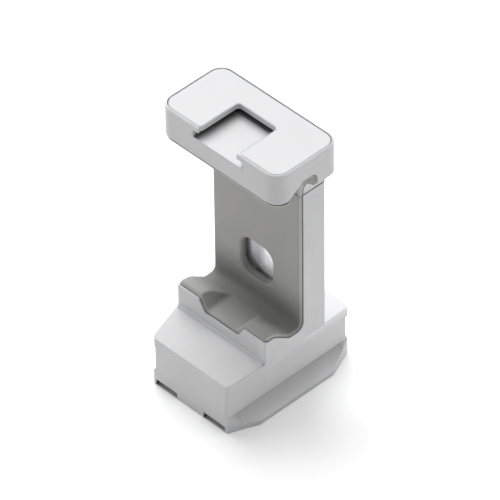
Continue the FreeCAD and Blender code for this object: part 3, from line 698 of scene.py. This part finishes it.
# Upper lining's lower edge
# Round bead of the upper lining that shows below the block's front, coloured pale as a painted highlight,
# under a fine dark line of painted shade. It follows the block's plan from one side round both front
# corners to the other.
BLOCK_UNDER = 0.07855
BEAD_INSET = 0.00052
BEAD_DROP = 0.00040
BEAD_RADIUS = 0.00026
BEAD_CORNER = 0.0041
BEAD_STEPS = 12
BEAD_SHADE_INSET = 0.00040
BEAD_SHADE_DROP = 0.00014
BEAD_SHADE_RADIUS = 0.00011
BEAD_HIGHLIGHT_PALE = (0.74, 0.74, 0.73)
BEAD_HIGHLIGHT_DEEP = (0.66, 0.66, 0.65)
BEAD_HIGHLIGHT_CLOUDS_PER_M = 150.0
BEAD_HIGHLIGHT_ROUGHNESS = (0.55, 0.68)


def edge_bead(name, inset, height, radius, finish):
    """Tube along the block's lower front edge, set in from its plan."""
    low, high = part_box("jaw_block")
    half = high[0] - inset
    front = low[1] + inset
    corner = BEAD_CORNER + BEAD_INSET - inset
    turns = [math.pi / 2 * i / BEAD_STEPS for i in range(BEAD_STEPS + 1)]
    right = [(half - corner + corner * math.cos(t), front + corner - corner * math.sin(t)) for t in turns]
    path = right + [(-x, y) for x, y in reversed(right)]
    tube(name, [[(x, y, height) for x, y in path]], radius, finish, "upper_jaw")


bead_highlight_rubber, tree, shader = new_finish("bead_highlight_rubber", sum(BEAD_HIGHLIGHT_ROUGHNESS) / 2)
point = own_place(tree)
wander(tree, shader, noise(tree, point, BEAD_HIGHLIGHT_CLOUDS_PER_M), BEAD_HIGHLIGHT_DEEP, BEAD_HIGHLIGHT_PALE)
vary(tree, noise(tree, point, RUBBER_GRAIN_PER_M), shader.inputs["Roughness"], *BEAD_HIGHLIGHT_ROUGHNESS)
edge_bead("lining_bead", BEAD_INSET, BLOCK_UNDER - BEAD_DROP, BEAD_RADIUS, bead_highlight_rubber)
edge_bead("bead_shade_line", BEAD_SHADE_INSET, BLOCK_UNDER - BEAD_SHADE_DROP, BEAD_SHADE_RADIUS, groove_shade_dark)


# Top plate
# Pressed aluminium plate let into the upper jaw, bead blasted and coated in a satin white-grey. Its edges
# carry painted highlights. The right rail shows a painted highlight and a fine line of painted shade, and
# the mouth's walls show a band of painted shade over a painted highlight line.
PLATE_PALE = (0.69, 0.69, 0.70)
PLATE_DEEP = (0.675, 0.675, 0.685)
PLATE_CLOUDS_PER_M = 70.0
PLATE_GRAIN_PER_M = 7000.0
PLATE_GRAIN_DEPTH = 0.00001
PLATE_GRAIN_STRENGTH = 0.15
PLATE_ROUGHNESS = (0.38, 0.46)
PLATE_EDGE = 0.00025
# Painted highlight along the plate's edges.
PLATE_HIGHLIGHT_RADIUS = 0.00030
PLATE_EDGE_HIGHLIGHT = 0.55
MOUTH_WALL = 0.00735
MOUTH_WALL_DEPTH = (-0.0112, 0.0042)
WALL_SHADE_BAND = (0.0877, 0.0881)
WALL_SHADE_SHARE = 0.84
WALL_HIGHLIGHT_BAND = (0.0872, 0.0876)
WALL_HIGHLIGHT_SHARE = 1.14
RAIL_HIGHLIGHT = ((0.00728, -0.0112, 0.0884), (0.00756, 0.0034, 0.0891), 1.22)
RAIL_SHADE_LINE = ((0.00756, -0.0104, 0.0884), (0.00778, 0.0034, 0.0891), 0.55)

satin_coat, tree, shader = new_finish("satin_coat", sum(PLATE_ROUGHNESS) / 2)
point = own_place(tree)
wander(tree, shader, noise(tree, point, PLATE_CLOUDS_PER_M), PLATE_DEEP, PLATE_PALE)
grain = noise(tree, point, PLATE_GRAIN_PER_M, detail=1.0)
vary(tree, grain, shader.inputs["Roughness"], *PLATE_ROUGHNESS)
emboss(tree, shader, grain, PLATE_GRAIN_STRENGTH, PLATE_GRAIN_DEPTH, PLATE_EDGE)
paint_edge_highlights(tree, shader, PLATE_HIGHLIGHT_RADIUS, PLATE_EDGE_HIGHLIGHT, point)
plate_light_and_shade = [RAIL_HIGHLIGHT, RAIL_SHADE_LINE]
plate_light_and_shade += across(MOUTH_WALL, MOUTH_WALL_DEPTH, WALL_SHADE_BAND, WALL_SHADE_SHARE)
plate_light_and_shade += across(MOUTH_WALL, MOUTH_WALL_DEPTH, WALL_HIGHLIGHT_BAND, WALL_HIGHLIGHT_SHARE)
tone_places(tree, shader, point, plate_light_and_shade)
dress("top_plate", satin_coat)


# Window disc
# Steel disc turned with a fine spiral cut. Its bright and dark fans round the centre are painted
# reflections, its upper left is painted shade, and a crescent at its upper right is a painted highlight.
# It closes the window in the column from behind.
DISC_CONE = 0.17
DISC_RINGS_PER_M = 1400.0
DISC_ROUGHNESS = (0.24, 0.32)
DISC_BRUSHING = 0.6
FAN_CENTRE = Vector((-0.0011, 0.0, 0.0007))
FAN_REFLECTION_TINTS = (
    (0.00, (0.62, 0.61, 0.64)), (0.12, (0.80, 0.80, 0.81)), (0.25, (0.50, 0.49, 0.52)),
    (0.38, (0.80, 0.80, 0.80)), (0.50, (0.97, 0.97, 0.97)), (0.62, (0.80, 0.80, 0.81)),
    (0.75, (0.60, 0.59, 0.62)), (0.88, (0.78, 0.77, 0.79)),
)
DISC_SHADE_LOW = Vector((-0.0060, -0.0030, 0.0002))
DISC_SHADE_HIGH = Vector((0.0012, 0.0030, 0.0080))
DISC_SHADE_STEP = 0.0006
DISC_SHADE_STEPS = 5
DISC_SHADE_SHARE = 0.93
GLINT_CENTRE = Vector((0.0008, 0.0, 0.0028))
GLINT_REACH = (0.0032, 0.0038)
GLINT_LOW = Vector((0.0009, -0.0030, 0.0036))
GLINT_HIGH = Vector((0.0080, 0.0030, 0.0090))
GLINT_SHARE = 1.3

disc_low, disc_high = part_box("window_disc")
disc_centre = (Vector(disc_low) + Vector(disc_high)) / 2
fan_centre = disc_centre + FAN_CENTRE

spun_steel, tree, shader = new_finish("spun_steel", sum(DISC_ROUGHNESS) / 2, metallic=1.0)
shader.inputs["Anisotropic"].default_value = DISC_BRUSHING
point = own_place(tree, fan_centre)
turned = tree.nodes.new("ShaderNodeMapping")
turned.inputs["Rotation"].default_value = (math.radians(90), 0.0, 0.0)
tree.links.new(point, turned.inputs["Vector"])
sweep = tree.nodes.new("ShaderNodeTexGradient")
sweep.gradient_type = "RADIAL"
tree.links.new(turned.outputs["Vector"], sweep.inputs["Vector"])
# Painted reflection: bright and dark fans round the centre, by angle.
painted_fans = tree.nodes.new("ShaderNodeValToRGB")
painted_fans.color_ramp.interpolation = "B_SPLINE"
painted_fans.color_ramp.elements.remove(painted_fans.color_ramp.elements[1])
painted_fans.color_ramp.elements[0].color = (*FAN_REFLECTION_TINTS[0][1], 1.0)
for turn, tint in FAN_REFLECTION_TINTS[1:]:
    painted_fans.color_ramp.elements.new(turn).color = (*tint, 1.0)
tree.links.new(sweep.outputs["Fac"], painted_fans.inputs["Fac"])
tree.links.new(painted_fans.outputs["Color"], shader.inputs["Base Color"])
whole = own_place(tree)
# Painted shade over the disc's upper left.
for step in range(DISC_SHADE_STEPS):
    inward = DISC_SHADE_STEP * step
    low = disc_centre + DISC_SHADE_LOW + Vector((0.0, 0.0, inward))
    high = disc_centre + DISC_SHADE_HIGH - Vector((inward, 0.0, 0.0))
    tone_places(tree, shader, whole, [(low, high, DISC_SHADE_SHARE)])
# Painted highlight: a crescent at the upper right.
upper_right = inside(tree, whole, disc_centre + GLINT_LOW, disc_centre + GLINT_HIGH)
away = distance_from(tree, disc_centre + GLINT_CENTRE, "Y")
glint = work_out(tree, "MULTIPLY", upper_right, rescale(tree, away, *GLINT_REACH, 0.0, 1.0))
lay_over(tree, shader, glint, GLINT_SHARE, "MULTIPLY")
tangent = tree.nodes.new("ShaderNodeTangent")
tangent.direction_type = "RADIAL"
tangent.axis = "Y"
tree.links.new(tangent.outputs["Tangent"], shader.inputs["Tangent"])
rings = tree.nodes.new("ShaderNodeTexWave")
rings.wave_type = "RINGS"
rings.rings_direction = "Y"
rings.inputs["Scale"].default_value = DISC_RINGS_PER_M
tree.links.new(point, rings.inputs["Vector"])
vary(tree, rings.outputs["Fac"], shader.inputs["Roughness"], *DISC_ROUGHNESS)
cone = work_out(tree, "MULTIPLY", distance_from(tree, fan_centre, "Y"), -DISC_CONE)
emboss(tree, shader, cone, 1.0, 1.0)
dress("window_disc", spun_steel)


# Rods, bushes, clips, washers and screws
# Ground steel rods pressed into the jaw slide in brass bushes. Wire clips and zinc plated washers
# carry the springs, and zinc plated screws hold the cover and the base.
METAL_DARK_SHARE = 0.86
METAL_ROUGHNESS_SPREAD = 0.06
METAL_STREAK_DEPTH = 0.00001
METAL_STREAK_STRENGTH = 0.05


def metal(name, colour, roughness, streaks):
    """Machined metal of a colour, with so many fine streaks to the metre."""
    finish, tree, shader = new_finish(name, roughness, metallic=1.0)
    worn = noise(tree, own_place(tree), streaks)
    darker = tuple(METAL_DARK_SHARE * c for c in colour)
    wander(tree, shader, worn, darker, colour)
    vary(tree, worn, shader.inputs["Roughness"],
         roughness - METAL_ROUGHNESS_SPREAD, roughness + METAL_ROUGHNESS_SPREAD)
    emboss(tree, shader, worn, METAL_STREAK_STRENGTH, METAL_STREAK_DEPTH)
    return finish


ground_steel = metal("ground_steel", (0.78, 0.78, 0.80), 0.22, 5000.0)
turned_brass = metal("turned_brass", (0.78, 0.62, 0.34), 0.28, 1200.0)
spring_wire = metal("spring_wire", (0.52, 0.52, 0.55), 0.30, 1500.0)
zinc_plate = metal("zinc_plate", (0.66, 0.67, 0.70), 0.30, 1800.0)
for side in ("right", "left"):
    dress("guide_rod_" + side, ground_steel)
    dress("guide_bush_" + side, turned_brass)
    dress("rod_clip_" + side, spring_wire)
    dress("spring_washer_" + side, zinc_plate)
for node in ("cover_screws", "base_screws"):
    dress(node, zinc_plate)


# Return springs
# Wire coils with closed ends, round the rods between the washers and the column's head. They ride on the
# fixed body at one length; on the real holder they flatten up against the head as the jaw slides out.
COIL_WIRE = 0.00024
COIL_RADIUS = 0.00162
COIL_LOW = 0.02605
COIL_HIGH = 0.06595
COIL_TURNS = 10
COIL_STEPS = 32
COIL_SIDES = 10
CLOSED_PITCH = 2 * COIL_WIRE
OPEN_PITCH = (COIL_HIGH - COIL_LOW - 2 * COIL_WIRE - 2 * CLOSED_PITCH) / (COIL_TURNS - 2)
UPWARD = (0.0, 0.0, 1.0)

for side in ("right", "left"):
    low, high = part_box("return_spring_" + side)
    axis_x = (low[0] + high[0]) / 2
    axis_y = (low[1] + high[1]) / 2
    shape = bmesh.new()
    place = Matrix.Translation((axis_x + COIL_RADIUS, axis_y, COIL_LOW + COIL_WIRE))
    upright = Matrix.Rotation(math.pi / 2, 4, "Y") @ Matrix.Rotation(math.pi / 2, 4, "X")
    bmesh.ops.create_circle(shape, segments=COIL_SIDES, radius=COIL_WIRE, matrix=place @ upright)
    ring = shape.verts[:] + shape.edges[:]
    for turns, pitch in ((1, CLOSED_PITCH), (COIL_TURNS - 2, OPEN_PITCH), (1, CLOSED_PITCH)):
        wound = bmesh.ops.spin(
            shape, geom=ring, cent=(axis_x, axis_y, 0.0), axis=UPWARD, dvec=(0.0, 0.0, pitch / COIL_STEPS),
            angle=turns * 2 * math.pi, steps=turns * COIL_STEPS)
        ring = wound["geom_last"]
    bmesh.ops.holes_fill(shape, edges=shape.edges, sides=COIL_SIDES)
    bmesh.ops.recalc_face_normals(shape, faces=shape.faces)
    for face in shape.faces:
        face.smooth = len(face.verts) == 4
    mesh = bpy.data.meshes.new("coil_" + side)
    shape.to_mesh(mesh)
    shape.free()
    mesh.materials.append(spring_wire)
    coil = bpy.data.objects.new("coil_" + side, mesh)
    bpy.context.scene.collection.objects.link(coil)
    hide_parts("return_spring_" + side)
    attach(coil, "root")
    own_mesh(coil)
